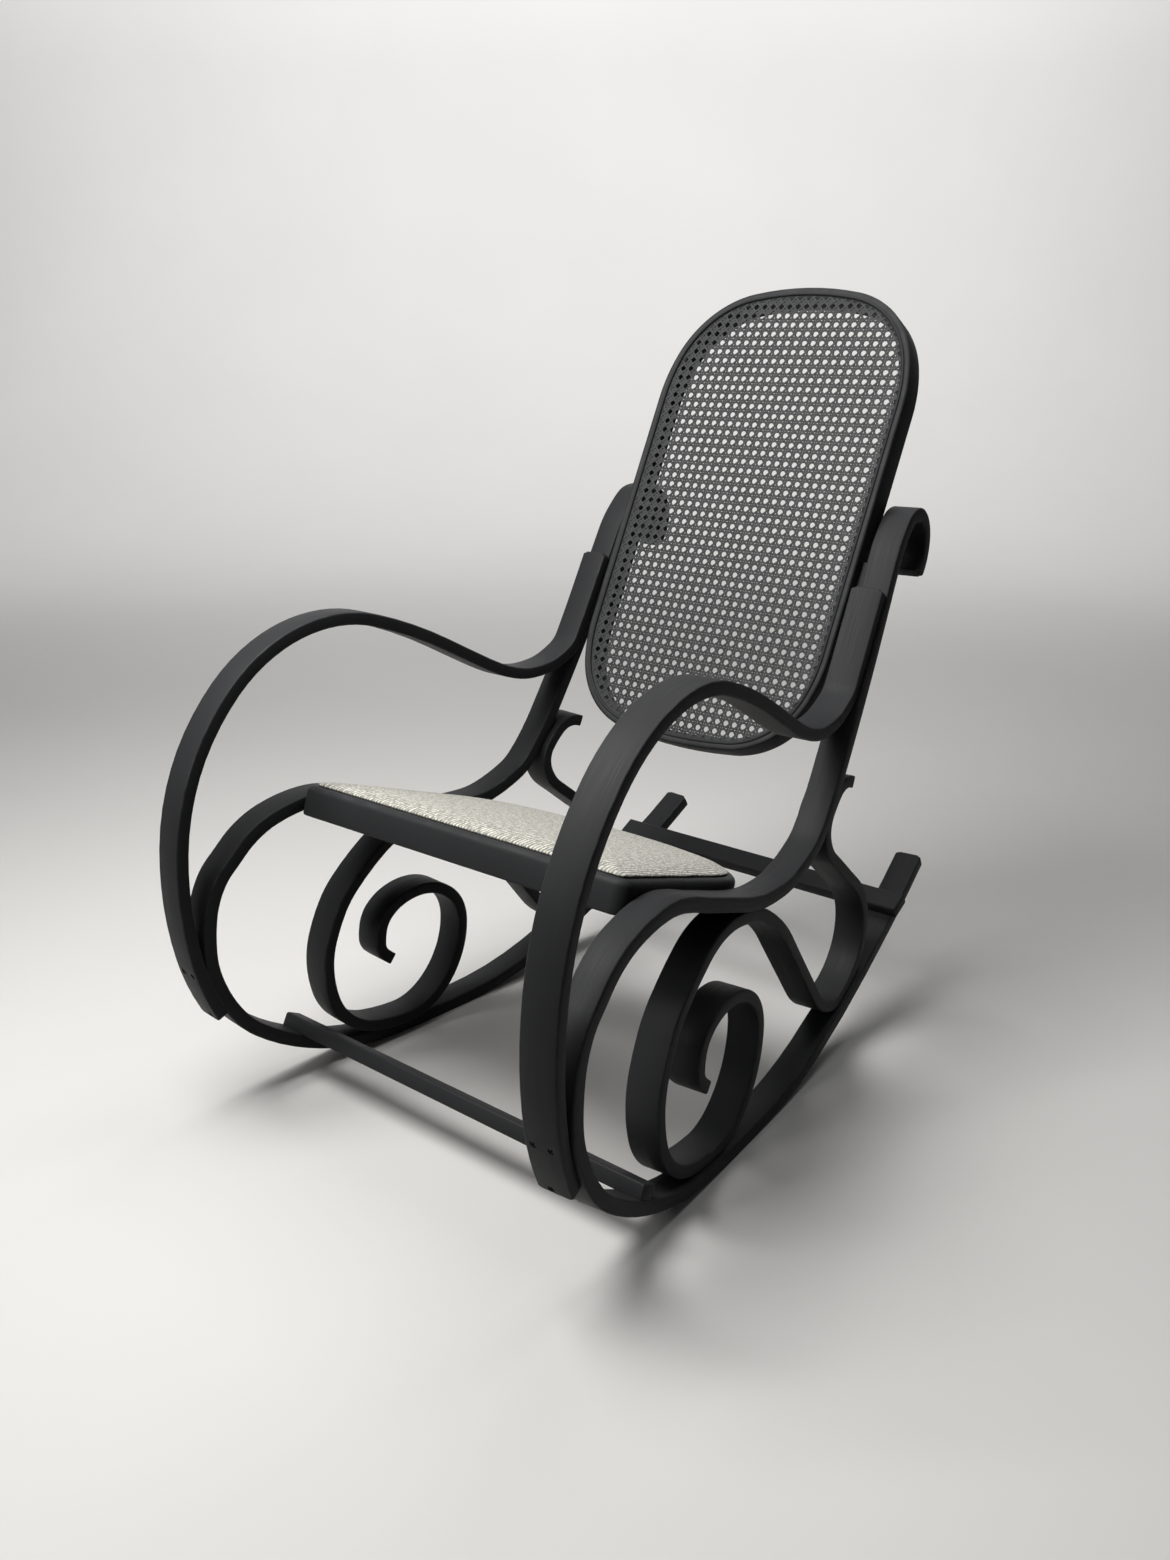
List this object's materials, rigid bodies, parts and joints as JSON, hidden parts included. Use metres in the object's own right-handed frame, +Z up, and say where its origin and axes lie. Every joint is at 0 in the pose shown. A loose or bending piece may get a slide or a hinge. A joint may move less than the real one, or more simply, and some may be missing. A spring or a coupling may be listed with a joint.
{
  "type": "bentwood rocking chair",
  "caption": "Rocking chair of bent laminated wood painted charcoal, with scrolled side frames, long curved arms, a caned back hoop and an upholstered seat.",
  "frame": {"origin": "on the floor, midway between the rockers, where they touch it at rest", "axes": "+Z up, -Y towards the front of the chair, +X to the right as seen from the front"},
  "size_m": [0.6462, 0.9894, 1.0474],
  "materials": {
    "painted_wood": "matt charcoal paint on bent wood",
    "cane": "matt charcoal paint on woven cane",
    "fabric": "light grey flecked tweed",
    "board": "bare plywood",
    "dark_screws": "black screws, sunk",
    "steel_screws": "plain steel"
  },
  "bodies": {
    "root": {"left_main_strip": "painted_wood", "right_main_strip": "painted_wood", "left_arm_strip": "painted_wood", "right_arm_strip": "painted_wood", "left_scroll_strip": "painted_wood", "right_scroll_strip": "painted_wood", "front_stretcher": "painted_wood", "rear_stretcher": "painted_wood", "seat_ring": "painted_wood", "back_hoop": "painted_wood", "cane_spline": "painted_wood", "left_hoop_spacer": "painted_wood", "right_hoop_spacer": "painted_wood", "seat_board": "board", "seat_pad": "fabric", "cane_web": "cane", "left_arm_screws": "dark_screws", "right_arm_screws": "dark_screws", "left_seat_screws": "steel_screws", "right_seat_screws": "steel_screws", "left_hoop_screws": "steel_screws", "right_hoop_screws": "steel_screws"}
  },
  "joints": []
}
